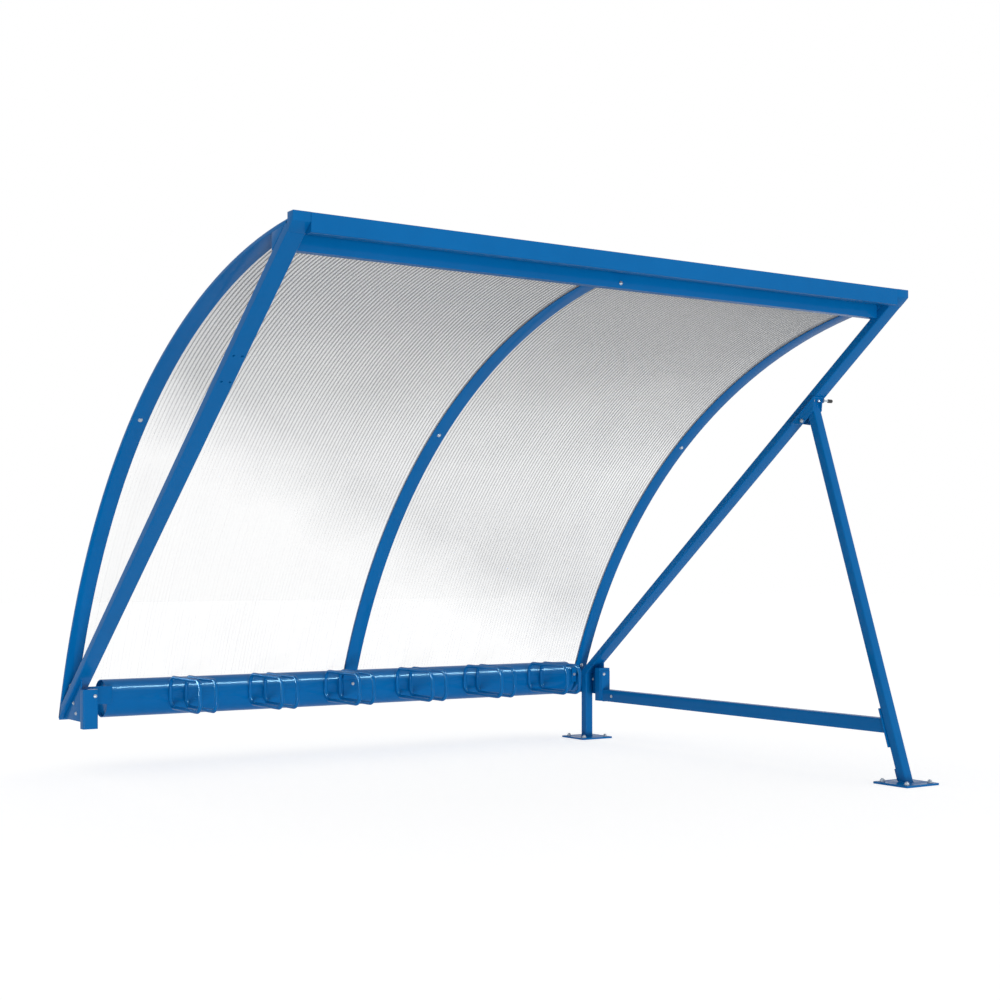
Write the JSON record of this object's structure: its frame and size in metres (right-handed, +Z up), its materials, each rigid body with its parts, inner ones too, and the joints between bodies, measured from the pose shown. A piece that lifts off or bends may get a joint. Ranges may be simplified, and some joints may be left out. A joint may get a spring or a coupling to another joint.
{
  "type": "bike shelter",
  "caption": "Add-on bay of a curved-roof bike shelter: blue tube frames and arches, translucent roof sheets, and a round rail with wheel holders along the back.",
  "frame": {"origin": "middle of the underside of the rear foot plate", "axes": "+X along the bay towards the end with the leg, +Y towards the back, +Z up"},
  "size_m": [2.6455, 2.351, 1.8825],
  "materials": {
    "blue_paint": "gloss powder coat",
    "roof_sheet": "translucent multiwall sheet"
  },
  "bodies": {
    "root": {"arch_left": "blue_paint", "arch_middle": "blue_paint", "arch_right": "blue_paint", "arch_saddle": "blue_paint", "beam_end_left": "blue_paint", "beam_end_right": "blue_paint", "fascia_end_left": "blue_paint", "fascia_end_right": "blue_paint", "front_beam": "blue_paint", "front_fascia": "blue_paint", "front_foot_plate": "blue_paint", "front_leg": "blue_paint", "leg_foot_tab": "blue_paint", "leg_head_bracket": "blue_paint", "node_stub_left": "blue_paint", "node_stub_right": "blue_paint", "node_web_left": "blue_paint", "node_web_right": "blue_paint", "rack_rail": "blue_paint", "rail_end_plate_left": "blue_paint", "rail_end_plate_right": "blue_paint", "rail_lug_left": "blue_paint", "rail_lug_right": "blue_paint", "rear_foot_plate": "blue_paint", "rear_post": "blue_paint", "roof_sheet_left": "roof_sheet", "roof_sheet_right": "roof_sheet", "strut_left": "blue_paint", "strut_right": "blue_paint", "tie_bar": "blue_paint", "tie_plate_front": "blue_paint", "tie_plate_rear": "blue_paint", "wheel_holder_1": "blue_paint", "wheel_holder_2": "blue_paint", "wheel_holder_3": "blue_paint", "wheel_holder_4": "blue_paint", "wheel_holder_5": "blue_paint", "wheel_holder_6": "blue_paint"}
  },
  "joints": []
}
